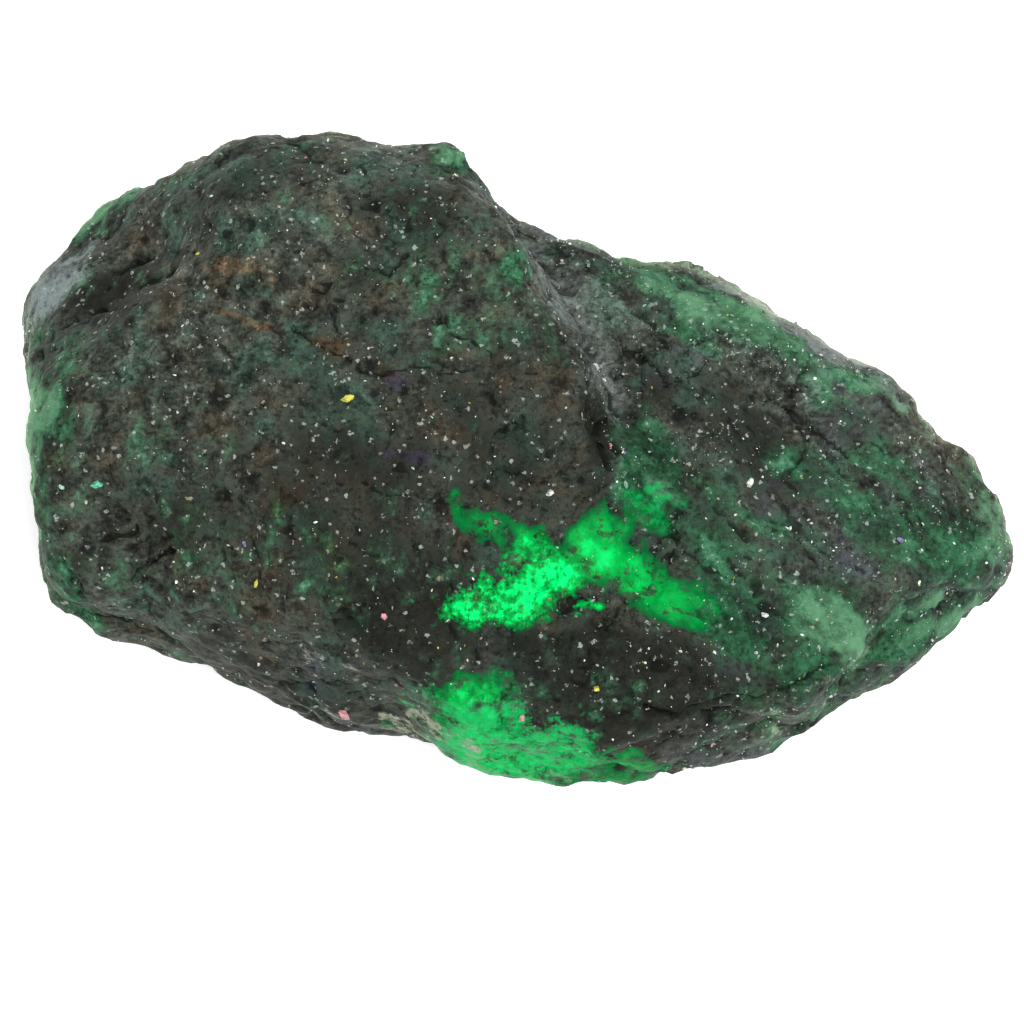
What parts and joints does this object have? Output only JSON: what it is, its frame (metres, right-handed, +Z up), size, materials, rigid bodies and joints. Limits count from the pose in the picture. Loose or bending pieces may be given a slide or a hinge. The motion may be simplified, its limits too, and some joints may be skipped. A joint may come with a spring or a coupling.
{
  "type": "raw emerald crystal",
  "caption": "Flat rough stone of emerald and dark mica schist, with a high lobe, a tapering low lobe and a broken crest between them.",
  "frame": {"origin": "on the face that the stone lies on, under the middle of its bounding box", "axes": "+X along the stone towards its tapering end, +Y towards its back edge, +Z up out of the top face"},
  "size_m": [0.07, 0.046, 0.0225],
  "materials": {
    "emerald_rock": "rough",
    "mica_glint": "satin"
  },
  "bodies": {
    "root": {"emerald_rough": "emerald_rock"}
  },
  "joints": []
}
